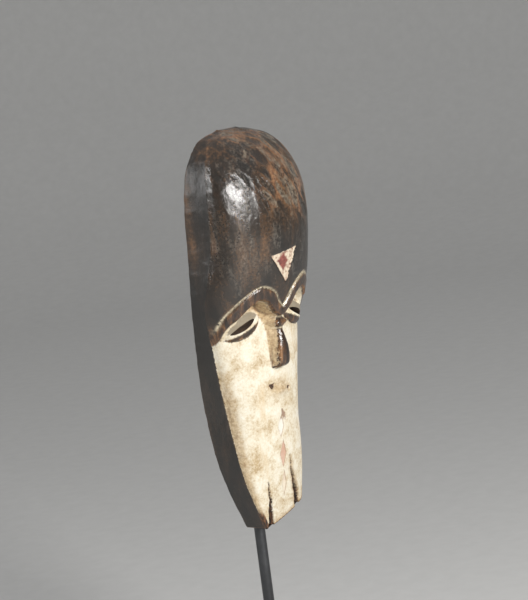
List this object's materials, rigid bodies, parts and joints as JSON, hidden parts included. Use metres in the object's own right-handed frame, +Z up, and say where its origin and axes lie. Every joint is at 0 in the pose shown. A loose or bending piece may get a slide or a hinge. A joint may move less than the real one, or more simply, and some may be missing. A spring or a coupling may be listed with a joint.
{
  "type": "mask on display stand",
  "caption": "Tall carved wooden face mask, hollow behind, hung on a padded steel cradle that turns on a sliding post in a weighted wooden base.",
  "frame": {"origin": "centre of the base's underside, on the surface it stands on", "axes": "+Z up, -Y out of the mask's face, +X to the viewer's right when facing the mask"},
  "size_m": [0.17, 0.17, 0.6263],
  "materials": {
    "carved_wood": "carved by hand: black-brown polished crown, chalk-white clay on the face",
    "painted_wood": "satin black paint",
    "black_steel": "satin dark grey",
    "bare_steel": "turned and brushed",
    "felt": "wool felt",
    "rubber": "matte"
  },
  "bodies": {
    "stand": {"base_block": "painted_wood", "ballast_plate": "bare_steel", "ballast_screws": "bare_steel", "base_felt": "felt", "socket_tube": "black_steel", "flange_screws": "bare_steel"},
    "clamp": {"clamp_screw": "bare_steel"},
    "post": {"post": "black_steel", "chin_sleeve": "rubber"},
    "head": {"hub": "black_steel", "hub_grub_screw": "bare_steel", "spine": "black_steel", "bar_screws": "bare_steel", "crown_arm": "black_steel", "crown_stud": "bare_steel", "crown_nuts": "bare_steel", "crown_pad": "felt", "cross_bar": "black_steel", "left_temple_pad": "felt", "right_temple_pad": "felt"},
    "mask": {"mask_shell": "carved_wood"}
  },
  "joints": [
    {"name": "post_height", "type": "slide", "parent": "stand", "child": "post", "axis": [0, 0, 1], "range_m": [0, 0.04]},
    {"name": "clamp_turn", "type": "hinge", "parent": "stand", "child": "clamp", "pos_m": [0, 0.05, 0.074], "axis": [0, 1, 0], "range_deg": [0, 360]},
    {"name": "head_turn", "type": "hinge", "parent": "post", "child": "head", "pos_m": [0, 0.032, 0.335], "axis": [0, 0, 1], "continuous": true},
    {"name": "mask_lift_off", "type": "slide", "parent": "head", "child": "mask", "axis": [0, -0.9659, 0.2588], "range_m": [0, 0.15]}
  ]
}
